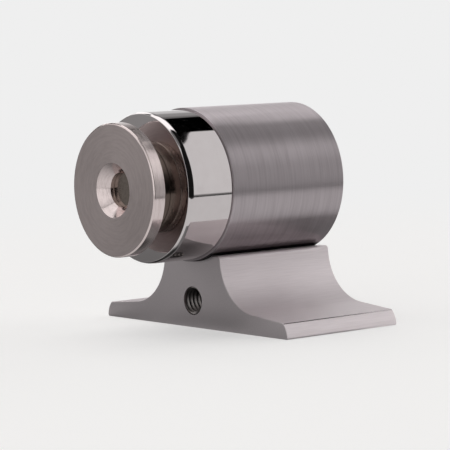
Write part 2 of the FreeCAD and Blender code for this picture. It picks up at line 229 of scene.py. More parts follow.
@dataclass(frozen=True)
class TurnedSteel:
    """Steel cut or brushed on a lathe, so that its fine lines run round the axis.

    The eye sees highlights drawn out along the axis, across the lines, and faint streaks of light and dark
    that follow the lines round. Real lines lie a tenth of a millimetre apart or less, which is too fine to
    show, so they are drawn about half a millimetre apart. A larger line_arc makes the streaks shorter.
    """

    name: str
    colour: str
    streak_colour: str
    side_roughness: float
    face_roughness: float
    roughness_spread: float
    anisotropy: float
    line_spacing_mm: float
    line_arc: float
    line_height_mm: float
    axis_height_mm: float
    painted_crevice_shade: PaintedCreviceShade | None = None

    def material(self) -> Material:
        """Make the material.

        Returns:
            The material, with its pattern centred on the turning axis.
        """
        material, tree = new_material(self.name)
        coordinates = add_node(tree, "ShaderNodeTexCoord")
        centred = add_node(tree, "ShaderNodeMapping", None, {
            "Vector": coordinates.outputs["Object"],
            "Location": (0.0, 0.0, -self.axis_height_mm * MM)})
        flat = add_node(tree, "ShaderNodeVectorMath", {"operation": "MULTIPLY"}, {
            0: centred, 1: (1.0, 0.0, 1.0)})
        radius = add_node(tree, "ShaderNodeVectorMath", {"operation": "LENGTH"}, {0: flat})
        around = add_node(tree, "ShaderNodeVectorMath", {"operation": "NORMALIZE"}, {0: flat})
        along = add_node(tree, "ShaderNodeSeparateXYZ", None, {0: centred})

        # Lines follow each other along Y on the round side, and from the axis outwards on a flat face
        across_lines = add_node(tree, "ShaderNodeMath", {"operation": "SUBTRACT"}, {
            0: along.outputs["Y"], 1: radius.outputs["Value"]})
        line_count = add_node(tree, "ShaderNodeMath", {"operation": "MULTIPLY"}, {
            0: across_lines, 1: 1.0 / (self.line_spacing_mm * MM)})
        wrapped = add_node(tree, "ShaderNodeVectorMath", {"operation": "SCALE"}, {
            0: around, "Scale": self.line_arc})
        parts = add_node(tree, "ShaderNodeSeparateXYZ", None, {0: wrapped})
        line_space = add_node(tree, "ShaderNodeCombineXYZ", None, {
            "X": parts.outputs["X"], "Y": line_count, "Z": parts.outputs["Z"]})
        lines = add_node(tree, "ShaderNodeTexNoise", None, {
            "Vector": line_space, "Scale": 1.0, "Detail": 3.0, "Roughness": 0.65})

        colour, _ = streaked_colour(tree, lines.outputs[0], self.colour, self.streak_colour)
        surface = add_node(tree, "ShaderNodeNewGeometry")
        direction = add_node(tree, "ShaderNodeSeparateXYZ", None, {0: surface.outputs["Normal"]})
        # Painted shade: the underside darkens where the barrel sits in the foot's seat
        if self.painted_crevice_shade:
            colour = self.painted_crevice_shade.darken(tree, along, direction, colour)
        relief = add_node(tree, "ShaderNodeBump", None, {
            "Height": lines, "Strength": 1.0, "Distance": self.line_height_mm * MM})

        base = cut_roughness(tree, direction, self.side_roughness, self.face_roughness)
        spread = add_node(tree, "ShaderNodeMapRange", None, {
            "Value": lines, "From Min": NOISE_LOW, "From Max": NOISE_HIGH,
            "To Min": -self.roughness_spread, "To Max": self.roughness_spread})
        roughness = add_node(tree, "ShaderNodeMath", {"operation": "ADD"}, {0: base, 1: spread})

        # The blur is widest across the lines: along the outline that was turned
        along_lines = add_node(tree, "ShaderNodeVectorMath", {"operation": "CROSS_PRODUCT"}, {
            0: centred, 1: (0.0, 1.0, 0.0)})
        outline = add_node(tree, "ShaderNodeVectorMath", {"operation": "CROSS_PRODUCT"}, {
            0: surface.outputs["Normal"], 1: along_lines})
        tangent = add_node(tree, "ShaderNodeVectorMath", {"operation": "NORMALIZE"}, {0: outline})
        shader = add_node(tree, "ShaderNodeBsdfPrincipled", None, {
            "Base Color": colour, "Metallic": 1.0, "Roughness": roughness,
            "Anisotropic": self.anisotropy, "Tangent": tangent, "Normal": relief})
        finish_material(tree, shader)
        return material


@dataclass(frozen=True)
class PlainSteel:
    """Stainless steel left as the tap cut it or the die formed it.

    The eye sees a soft, even sheen with no lines and a very fine grain. The real grain is too fine to show,
    so it is drawn a few tenths of a millimetre wide. Under it lie soft spots about 11 mm wide.
    """

    name: str
    colour: str
    shade_colour: str
    roughness: float
    grain_mm: float
    grain_height_mm: float
    grain_share: float = 0.5
    spots_per_metre: float = 90.0
    roughness_spread: float = 0.03

    def material(self) -> Material:
        """Make the material.

        Returns:
            The material.
        """
        material, tree = new_material(self.name)
        coordinates = add_node(tree, "ShaderNodeTexCoord")
        grain = add_node(tree, "ShaderNodeTexNoise", None, {
            "Vector": coordinates.outputs["Object"], "Scale": 1.0 / (self.grain_mm * MM), "Detail": 2.0})
        spots = add_node(tree, "ShaderNodeTexNoise", None, {
            "Vector": coordinates.outputs["Object"], "Scale": self.spots_per_metre, "Detail": 2.0})

        # Spots with their share of grain run from about 0.5 to 1
        both = add_node(tree, "ShaderNodeMath", {"operation": "MULTIPLY_ADD"}, {
            0: grain, 1: self.grain_share, 2: spots})
        mix = add_node(tree, "ShaderNodeMapRange", None, {
            "Value": both, "From Min": 0.5, "From Max": 1.0})
        colour = add_node(tree, "ShaderNodeMix", {"data_type": "RGBA"}, {
            "Factor": mix, "A": srgb(self.shade_colour), "B": srgb(self.colour)})
        roughness = add_node(tree, "ShaderNodeMapRange", None, {
            "Value": grain, "From Min": NOISE_LOW, "From Max": NOISE_HIGH,
            "To Min": self.roughness - self.roughness_spread,
            "To Max": self.roughness + self.roughness_spread})
        relief = add_node(tree, "ShaderNodeBump", None, {
            "Height": grain, "Strength": 1.0, "Distance": self.grain_height_mm * MM})
        shader = add_node(tree, "ShaderNodeBsdfPrincipled", None, {
            "Base Color": colour.outputs["Result"], "Metallic": 1.0, "Roughness": roughness,
            "Normal": relief})
        finish_material(tree, shader)
        return material


@dataclass(frozen=True)
class BrushedSteel:
    """Stainless steel brushed lengthwise, so that its fine lines run along Y.

    The eye sees even bands of light along the length, because the lines spread light across them, and only
    a very fine grain on the ends. Real lines are a few hundredths of a millimetre wide, which is too fine
    to show, so they are drawn about a tenth wide. The crests are smoother: they lie further than
    crest_from_mm from the middle, where the Z of the normal is within crest_span of crest_slant.
    """

    name: str
    colour: str
    streak_colour: str
    side_roughness: float
    end_roughness: float
    anisotropy: float
    line_mm: float
    line_height_mm: float
    line_stretch: float = 0.02
    line_tilt: float = 0.02
    streak_roughness: float = 0.04
    crest_from_mm: float = 27.5
    crest_slant: float = 0.83
    crest_span: float = 0.11
    crest_roughness: float = 0.12

    def material(self) -> Material:
        """Make the material.

        Returns:
            The material.
        """
        material, tree = new_material(self.name)
        coordinates = add_node(tree, "ShaderNodeTexCoord")
        stretched = add_node(tree, "ShaderNodeVectorMath", {"operation": "MULTIPLY"}, {
            0: coordinates.outputs["Object"], 1: (1.0, self.line_stretch, 1.0)})
        lines = add_node(tree, "ShaderNodeTexNoise", None, {
            "Vector": stretched, "Scale": 1.0 / (self.line_mm * MM), "Detail": 3.0})
        colour, streaks = streaked_colour(tree, lines.outputs[0], self.colour, self.streak_colour)
        relief = add_node(tree, "ShaderNodeBump", None, {
            "Height": lines, "Strength": 1.0, "Distance": self.line_height_mm * MM})

        # The ends face along Y and were ground smoother than the brushed length
        surface = add_node(tree, "ShaderNodeNewGeometry")
        direction = add_node(tree, "ShaderNodeSeparateXYZ", None, {0: surface.outputs["Normal"]})
        base = cut_roughness(tree, direction, self.side_roughness, self.end_roughness)
        brushed = add_node(tree, "ShaderNodeMath", {"operation": "MULTIPLY_ADD"}, {
            0: streaks, 1: self.streak_roughness, 2: base})

        # The brush pressed hardest on the crests by the tips, which came out smoother
        place = add_node(tree, "ShaderNodeSeparateXYZ", None, {0: coordinates.outputs["Object"]})
        sideways = add_node(tree, "ShaderNodeMath", {"operation": "ABSOLUTE"}, {0: place.outputs["X"]})
        by_tip = add_node(tree, "ShaderNodeMath", {"operation": "GREATER_THAN"}, {
            0: sideways, 1: self.crest_from_mm * MM})
        slanting = add_node(tree, "ShaderNodeMath", {"operation": "COMPARE"}, {
            0: direction.outputs["Z"], 1: self.crest_slant, 2: self.crest_span})
        on_crest = add_node(tree, "ShaderNodeMath", {"operation": "MULTIPLY"}, {
            0: by_tip, 1: slanting})
        roughness = add_node(tree, "ShaderNodeMix", {"data_type": "FLOAT"}, {
            "Factor": on_crest, "A": brushed, "B": self.crest_roughness})

        # The small tilt of the lines gives the ends an upright blur
        across = add_node(tree, "ShaderNodeVectorMath", {"operation": "CROSS_PRODUCT"}, {
            0: surface.outputs["Normal"], 1: (self.line_tilt, 1.0, 0.0)})
        tangent = add_node(tree, "ShaderNodeVectorMath", {"operation": "NORMALIZE"}, {0: across})
        shader = add_node(tree, "ShaderNodeBsdfPrincipled", None, {
            "Base Color": colour, "Metallic": 1.0, "Roughness": roughness,
            "Anisotropic": self.anisotropy, "Tangent": tangent, "Normal": relief})
        finish_material(tree, shader)
        return material


@dataclass(frozen=True)
class PolishedMetal:
    """Metal buffed to a mirror, or plated bright.

    The eye sees sharp reflections whose edges wander a little, because a buffing wheel leaves the surface
    faintly wavy, and a faint haze in spots.
    """

    name: str
    colour: str
    haze_colour: str
    roughness: float
    wave_mm: float
    wave_height_mm: float
    haze_mm: float = 2.5
    haze_share: float = 0.3

    def material(self) -> Material:
        """Make the material.

        Returns:
            The material.
        """
        material, tree = new_material(self.name)
        coordinates = add_node(tree, "ShaderNodeTexCoord")
        waves = add_node(tree, "ShaderNodeTexNoise", None, {
            "Vector": coordinates.outputs["Object"], "Scale": 1.0 / (self.wave_mm * MM), "Detail": 0.0})
        haze = add_node(tree, "ShaderNodeTexNoise", None, {
            "Vector": coordinates.outputs["Object"], "Scale": 1.0 / (self.haze_mm * MM), "Detail": 4.0})
        colour = add_node(tree, "ShaderNodeMix", {"data_type": "RGBA"}, {
            "Factor": haze, "A": srgb(self.colour), "B": srgb(self.haze_colour)})
        roughness = add_node(tree, "ShaderNodeMapRange", None, {
            "Value": haze, "From Min": NOISE_LOW, "From Max": NOISE_HIGH,
            "To Min": self.roughness * (1.0 - self.haze_share),
            "To Max": self.roughness * (1.0 + self.haze_share)})
        relief = add_node(tree, "ShaderNodeBump", None, {
            "Height": waves, "Strength": 1.0, "Distance": self.wave_height_mm * MM})
        shader = add_node(tree, "ShaderNodeBsdfPrincipled", None, {
            "Base Color": colour.outputs["Result"], "Metallic": 1.0, "Roughness": roughness,
            "Normal": relief})
        finish_material(tree, shader)
        return material


@dataclass(frozen=True)
class Corner:
    """A corner of a turned piece's outline, in millimetres from the axis and from the piece's front."""

    radius: float
    along: float
    rounding: float = 0.0


def turned_mesh(name: str, corners: list[Corner], front: float, axis_height: float, steps: int = 256,
                ) -> Object:
    """Turn a closed outline into a solid about the shared axis.

    Args:
        name: the piece's name.
        corners: the outline, in order. An outline that starts and ends on the axis is closed by it.
        front: where the piece's front lies along Y, in millimetres.
        axis_height: the axis above the floor, in millimetres.
        steps: facets round the axis.

    Returns:
        The piece, with its mesh in place.
    """
    bm = bmesh.new()
    points = [bm.verts.new((corner.radius * MM, corner.along * MM, 0.0)) for corner in corners]
    pairs = list(zip(points, points[1:]))
    if corners[0].radius > 0.0:
        pairs.append((points[-1], points[0]))
    for start, end in pairs:
        bm.edges.new((start, end))
    for rounding in sorted({corner.rounding for corner in corners} - {0.0}):
        chosen = [point for point, corner in zip(points, corners) if corner.rounding == rounding]
        bmesh.ops.bevel(bm, geom=chosen, offset=rounding * MM, offset_type="OFFSET", segments=4,
                        profile=0.5, affect="VERTICES", material=-1)
    bmesh.ops.spin(bm, geom=bm.verts[:] + bm.edges[:], cent=(0, 0, 0), axis=(0, 1, 0), dvec=(0, 0, 0),
                   angle=math.tau, steps=steps, use_merge=True, use_duplicate=False)
    bmesh.ops.remove_doubles(bm, verts=bm.verts[:], dist=SAME_POINT)
    bmesh.ops.dissolve_degenerate(bm, edges=bm.edges[:], dist=SAME_POINT)
    bmesh.ops.recalc_face_normals(bm, faces=bm.faces[:])
    bmesh.ops.translate(bm, verts=bm.verts[:], vec=(0, front * MM, axis_height * MM))
    return new_piece(name, bm)


def mesh_object(name: str, bm: BMesh) -> Object:
    """Make an object from a bmesh and put it in the scene.

    Args:
        name: the object's name.
        bm: its mesh, which is freed.

    Returns:
        The object.
    """
    mesh = bpy.data.meshes.new(name)
    bm.to_mesh(mesh)
    bm.free()
    made = bpy.data.objects.new(name, mesh)
    bpy.context.scene.collection.objects.link(made)
    return made


def new_piece(name: str, bm: BMesh, sharp_degrees: float = 25.0) -> Object:
    """Make a piece from a bmesh, smooth but for its sharp edges, and let it ride with the part.

    Args:
        name: the piece's name.
        bm: its mesh, which is freed.
        sharp_degrees: edges that turn by more than this stay sharp.

    Returns:
        The piece.
    """
    for face in bm.faces:
        face.smooth = True
    piece = mesh_object(name, bm)
    piece.data.set_sharp_from_angle(angle=math.radians(sharp_degrees))
    weighted = piece.modifiers.new("weighted_normals", "WEIGHTED_NORMAL")
    weighted.keep_sharp = True
    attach(piece, BODY)
    LOG.info("%s: %d faces", name, len(piece.data.polygons))
    return piece


def dress_piece(piece: Object, material: Material) -> None:
    """Give a new piece its material.

    Args:
        piece: the piece.
        material: its finish.
    """
    piece.data.materials.clear()
    piece.data.materials.append(material)


def dress_node(node: Object, material: Material) -> None:
    """Give a node of the frame its material.

    Args:
        node: the frame's own object.
        material: its finish.
    """
    for slot in node.material_slots:
        slot.material = material
    LOG.info("%s: dressed as %s", node.name, material.name)


@dataclass
class Barrel:
    """Brushed barrel, turned from bar."""

    diameter: float
    length: float
    front: float
    axis_height: float
    chamfer: float = 0.08
    edge_rounding: float = 0.02
    bore_diameter: float = 20.1
    bore_depth: float = 10.5

    def build(self) -> Object:
        """Turn the barrel with its chamfers and its blind bore.

        Returns:
            The barrel.
        """
        radius = self.diameter / 2
        edge = self.edge_rounding
        return turned_mesh("barrel_turned", [
            Corner(0.0, self.bore_depth),
            Corner(self.bore_diameter / 2, self.bore_depth),
            Corner(self.bore_diameter / 2, 0.0),
            Corner(radius - self.chamfer, 0.0, edge),
            Corner(radius, self.chamfer, edge),
            Corner(radius, self.length - self.chamfer, edge),
            Corner(radius - self.chamfer, self.length, edge),
            Corner(0.0, self.length),
        ], self.front, self.axis_height)

    def dress(self, piece: Object) -> None:
        """Dress the barrel as stainless steel brushed with abrasive cloth while it turned, with shade
        painted below.
        """
        dress_piece(piece, TurnedSteel(
            name="barrel_brushed_stainless", colour="c0b7ba", streak_colour="b6adb0", side_roughness=0.38,
            face_roughness=0.38, roughness_spread=0.03, anisotropy=0.95, line_spacing_mm=0.5, line_arc=1.0,
            line_height_mm=0.002, axis_height_mm=self.axis_height,
            # Painted shade darkens the strip below, along the crevice where the barrel sits in the foot
            painted_crevice_shade=PaintedCreviceShade(half_width_mm=8.0, soft_mm=0.4, colour="1c1717")).material())


@dataclass
class Collar:
    """Mirror polished collar with the recess for the magnet and the spigot behind.

    Buffing rolled the edge between its side and its front chamfer. The inset and the rounding of that edge
    are shares of its length along the side.
    """

    diameter: float
    length: float
    front: float
    axis_height: float
    spigot_end: float
    chamfer: float = 0.4
    back_chamfer: float = 0.15
    rolled_edge: float = 0.55
    rolled_inset: float = 0.22
    rolled_rounding: float = 0.3
    edge_rounding: float = 0.05
    face_rounding: float = 0.06
    back_rounding: float = 0.04
    recess_diameter: float = 18.9
    recess_depth: float = 0.8
    spigot_diameter: float = 20.0
    spigot_chamfer: float = 0.8

    def build(self) -> Object:
        """Turn the collar.

        Returns:
            The collar.
        """
        radius = self.diameter / 2
        recess = self.recess_diameter / 2
        spigot = self.spigot_diameter / 2
        return turned_mesh("collar_polished", [
            Corner(0.0, self.recess_depth),
            Corner(recess, self.recess_depth),
            Corner(recess, 0.0, self.edge_rounding),
            Corner(radius - self.chamfer, 0.0, self.face_rounding),
            Corner(radius - self.rolled_edge * self.rolled_inset, self.chamfer, self.edge_rounding),
            Corner(radius, self.chamfer + self.rolled_edge, self.rolled_edge * self.rolled_rounding),
            Corner(radius, self.length - self.back_chamfer, self.back_rounding),
            Corner(radius - self.back_chamfer, self.length, self.back_rounding),
            Corner(spigot, self.length),
            Corner(spigot, self.spigot_end - self.spigot_chamfer),
            Corner(spigot - self.spigot_chamfer, self.spigot_end),
            Corner(0.0, self.spigot_end),
        ], self.front, self.axis_height)

    def dress(self, piece: Object) -> None:
        """Dress the collar as stainless steel buffed to a mirror."""
        dress_piece(piece, PolishedMetal(
            name="collar_mirror_polished_stainless", colour="d5cfcf", haze_colour="cfc8c8", roughness=0.05,
            wave_mm=9.0, wave_height_mm=0.010).material())


@dataclass
class MagnetHead:
    """Magnet and the pole plate ahead of it, two plain discs of one diameter."""

    diameter: float
    axis_height: float
    chamfer: float = 0.2
    edge_rounding: float = 0.05

    def build_disc(self, name: str, front: float, thickness: float) -> Object:
        """Turn one of the two discs, with both edges chamfered.

        Args:
            name: the piece's name.
            front: where the disc's front lies along Y, in millimetres.
            thickness: the disc's thickness.

        Returns:
            The disc.
        """
        radius = self.diameter / 2
        edge = self.edge_rounding
        return turned_mesh(name, [
            Corner(0.0, 0.0),
            Corner(radius - self.chamfer, 0.0, edge),
            Corner(radius, self.chamfer, edge),
            Corner(radius, thickness - self.chamfer, edge),
            Corner(radius - self.chamfer, thickness, edge),
            Corner(0.0, thickness),
        ], front, self.axis_height)

    def dress_magnet(self, piece: Object) -> None:
        """Dress the magnet as bright nickel plate on a sintered body, a little warm and hazy, with painted
        shade of the gap.
        """
        dress_piece(piece, PolishedMetal(
            # The dark colour is partly the plating and partly painted shade of the gap between keeper and
            # collar
            name="magnet_bright_nickel_plate", colour="80756d", haze_colour="756a62", roughness=0.22,
            wave_mm=3.0, wave_height_mm=0.004).material())

    def dress_plate(self, piece: Object) -> None:
        """Dress the pole plate as mild steel, turned fine and nickel plated, with painted shade of the gap.
        """
        dress_piece(piece, TurnedSteel(
            # The dark colour is partly the plating and partly painted shade of the gap between keeper and
            # collar
            name="pole_plate_turned_steel", colour="92877f", streak_colour="867b73", side_roughness=0.28,
            face_roughness=0.16, roughness_spread=0.04, anisotropy=0.5, line_spacing_mm=0.6, line_arc=4.0,
            line_height_mm=0.002, axis_height_mm=self.axis_height).material())


@dataclass
class KeeperDisc:
    """Loose strike disc with its countersunk hole."""

    diameter: float
    thickness: float
    front: float
    axis_height: float
    hole_diameter: float = 7.0
    mouth_diameter: float = 11.2
    front_chamfer: float = 0.3
    back_chamfer: float = 0.2
    mouth_rounding: float = 0.06
    front_rounding: float = 0.12
    edge_rounding: float = 0.05

    def build(self) -> Object:
        """Turn the disc.

        Returns:
            The disc.
        """
        radius = self.diameter / 2
        hole = self.hole_diameter / 2
        mouth = self.mouth_diameter / 2
        edge = self.edge_rounding

        # The countersink opens at 90 degrees, so it is as deep as its cone is wide
        countersink_depth = mouth - hole
        return turned_mesh("keeper_disc_turned", [
            Corner(mouth, 0.0, self.mouth_rounding),
            Corner(radius - self.front_chamfer, 0.0, self.front_rounding),
            Corner(radius, self.front_chamfer, edge),
            Corner(radius, self.thickness - self.back_chamfer, edge),
            Corner(radius - self.back_chamfer, self.thickness, edge),
            Corner(hole, self.thickness, edge),
            Corner(hole, countersink_depth, edge),
        ], self.front, self.axis_height)

    def dress(self, piece: Object) -> None:
        """Dress the disc as stainless steel faced and turned on a lathe."""
        dress_piece(piece, TurnedSteel(
            name="keeper_turned_stainless", colour="e2d4d2", streak_colour="d8cac8", side_roughness=0.17,
            face_roughness=0.34, roughness_spread=0.04, anisotropy=0.45, line_spacing_mm=0.5, line_arc=3.0,
            line_height_mm=0.001, axis_height_mm=self.axis_height).material())


@dataclass
class Foot:
    """Saddle foot. Its solid stays, and the hole in its front gets the thread that the solid leaves out.

    The flat of the thread, at its root and at its crest, is a share of the pitch to each side.
    """

    front: float
    hole_height: float
    major_diameter: float
    screw_depth: float
    minor_diameter: float = 5.0
    pitch: float = 1.0
    flat_share: float = 0.06
    screw_gap: float = 0.1
    steps_per_turn: int = 48

    def build_thread(self) -> Object:
        """Wind the thread's ridge down the hole as far as the set screw, flush with the foot's front face.

        Returns:
            The thread.
        """
        root = self.major_diameter / 2
        crest = self.minor_diameter / 2
        depth = self.screw_depth - self.screw_gap
        flat = self.flat_share
        outline = ((root, 0.0), (root, flat), (crest, 0.5 - flat), (crest, 0.5 + flat), (root, 1.0 - flat))
        bm = bmesh.new()
        points = [bm.verts.new((radius * MM, share * self.pitch * MM, 0.0)) for radius, share in outline]
        for start, end in zip(points, points[1:]):
            bm.edges.new((start, end))

        # One turn more at each end, which the two cuts take off again
        turns = depth / self.pitch + 2.0
        steps = round(turns * self.steps_per_turn)
        step_along = turns * self.pitch * MM / steps
        bmesh.ops.spin(bm, geom=bm.verts[:] + bm.edges[:], cent=(0, 0, 0), axis=(0, 1, 0),
                       dvec=(0, step_along, 0), angle=-math.tau * turns, steps=steps,
                       use_merge=False, use_duplicate=False)
        bmesh.ops.translate(bm, verts=bm.verts[:],
                            vec=(0, (self.front - self.pitch) * MM, self.hole_height * MM))
        for end_y, outward in ((self.front, -1.0), (self.front + depth, 1.0)):
            bmesh.ops.bisect_plane(bm, geom=bm.verts[:] + bm.edges[:] + bm.faces[:], dist=SAME_POINT,
                                   plane_co=(0, end_y * MM, 0), plane_no=(0, outward, 0), clear_outer=True)
        for face in bm.faces:
            centre = face.calc_center_median()
            inward = Vector((-centre.x, 0.0, self.hole_height * MM - centre.z))
            if face.normal.dot(inward) < 0:
                face.normal_flip()
        return new_piece("foot_thread", bm)

    def dress(self, node: Object) -> None:
        """Dress the foot as stainless steel brushed along its length."""
        dress_node(node, BrushedSteel(
            name="foot_brushed_stainless", colour="e6dddf", streak_colour="e0d7d9", side_roughness=0.46,
            end_roughness=0.30, anisotropy=0.80, line_mm=0.12, line_height_mm=0.002).material())

    def dress_thread(self, piece: Object) -> None:
        """Dress the thread as stainless steel left as the tap cut it, darkened partly by painted shade of
        the hole.
        """
        dress_piece(piece, PlainSteel(
            # The dark colour is partly the dull tapped steel and partly painted shade of the hole in the
            # foot
            name="thread_tapped_stainless", colour="8f8a88", shade_colour="7d7876", roughness=0.35,
            grain_mm=0.20, grain_height_mm=0.002).material())


class Wall(Enum):
    """A side of the light tent: the direction to it, then its two axes across and up."""

    REAR = ("Y", 1.0, "X", "Z")
    FRONT = ("Y", -1.0, "X", "Z")
    RIGHT = ("X", 1.0, "Y", "Z")
    LEFT = ("X", -1.0, "Y", "Z")
    CEILING = ("Z", 1.0, "X", "Y")


@dataclass(frozen=True)
class Card:
    """A rectangle on a wall of the light tent, one metre from the object: a light panel or a dark flag.

    The edges are in metres from the middle of the wall, and soft is how far each edge fades.
    """

    wall: Wall
    across: tuple[float, float]
    up: tuple[float, float]
    strength: float
    soft: float

    def mask(self, tree: NodeTree, direction: Node) -> NodeSocket:
        """Work out where the card shows: 1 on it, 0 off it.

        Args:
            tree: the world's node tree.
            direction: the view direction, split into its axes.

        Returns:
            The mask's socket.
        """
        depth_axis, sign, across_axis, up_axis = self.wall.value
        depth = add_node(tree, "ShaderNodeMath", {"operation": "MULTIPLY"}, {
            0: direction.outputs[depth_axis], 1: sign})
        ahead = add_node(tree, "ShaderNodeMath", {"operation": "GREATER_THAN"}, {
            0: depth, 1: BARELY_AHEAD})
        mask = ahead.outputs[0]
        for axis, (low, high) in ((across_axis, self.across), (up_axis, self.up)):
            place = add_node(tree, "ShaderNodeMath", {"operation": "DIVIDE"}, {
                0: direction.outputs[axis], 1: depth})
            from_middle = add_node(tree, "ShaderNodeMath", {"operation": "SUBTRACT"}, {
                0: place, 1: (low + high) / 2})
            reach = add_node(tree, "ShaderNodeMath", {"operation": "ABSOLUTE"}, {0: from_middle})
            half = (high - low) / 2
            inside = add_node(tree, "ShaderNodeMapRange", SMOOTH, {
                "Value": reach, "From Min": half + self.soft, "From Max": half - self.soft})
            joined = add_node(tree, "ShaderNodeMath", {"operation": "MULTIPLY"}, {
                0: mask, 1: inside})
            mask = joined.outputs[0]
        return mask


@dataclass(frozen=True)
class Flag:
    """A black board over the barrel that shows in reflections alone, with its places in millimetres."""

    corners: tuple[tuple[float, float], ...] = (
        (-4.0, 3.0), (22.0, 3.0), (34.0, 12.6), (25.0, 11.8), (16.0, 11.0), (11.6, 11.2), (7.6, 12.0),
        (-4.0, 12.0))
    height: float = 85.0
    colour: str = "080808"

    def build(self) -> Object:
        """Hang the board.

        Returns:
            The board.
        """
        bm = bmesh.new()
        bm.faces.new([bm.verts.new((x * MM, y * MM, self.height * MM)) for x, y in self.corners])
        flag = mesh_object("black_flag", bm)
        material, tree = new_material("black_velvet_flag")
        finish_material(tree, add_node(tree, "ShaderNodeBsdfDiffuse", None, {"Color": srgb(self.colour)}))
        flag.data.materials.append(material)
        flag.visible_camera = False
        flag.visible_diffuse = False
        flag.visible_shadow = False
        return flag


@dataclass(frozen=True)
class Shade:
    """A part of the floor that the object keeps dark in mirrors, in millimetres.

    The shade is a rectangle about its middle, with half its size, and fades out over its reach along X and
    Y. Its level is what it leaves of the floor's light.
    """

    middle: tuple[float, float]
    half: tuple[float, float]
    reach: tuple[float, float]
    level: float

    def unshaded(self, tree: NodeTree, place: NodeSocket) -> NodeSocket:
        """Work out what the shade leaves of the floor's light: its level inside, 1 far away.

        Args:
            tree: the floor's node tree.
            place: the place on the floor.

        Returns:
            The factor's socket.
        """
        from_middle = add_node(tree, "ShaderNodeVectorMath", {"operation": "SUBTRACT"}, {
            0: place, 1: (*(edge * MM for edge in self.middle), 0.0)})
        apart = add_node(tree, "ShaderNodeVectorMath", {"operation": "ABSOLUTE"}, {0: from_middle})
        beyond = add_node(tree, "ShaderNodeVectorMath", {"operation": "SUBTRACT"}, {
            0: apart, 1: (*(half * MM for half in self.half), 0.0)})
        outside = add_node(tree, "ShaderNodeVectorMath", {"operation": "MAXIMUM"}, {
            0: beyond, 1: (0.0, 0.0, 0.0)})
        in_reaches = add_node(tree, "ShaderNodeVectorMath", {"operation": "MULTIPLY"}, {
            0: outside, 1: (*(1.0 / (reach * MM) for reach in self.reach), 0.0)})
        away = add_node(tree, "ShaderNodeVectorMath", {"operation": "LENGTH"}, {0: in_reaches})
        left = add_node(tree, "ShaderNodeMapRange", SMOOTH, {
            "Value": away.outputs["Value"], "From Min": 0.0, "From Max": 1.0,
            "To Min": self.level, "To Max": 1.0})
        return left.outputs[0]


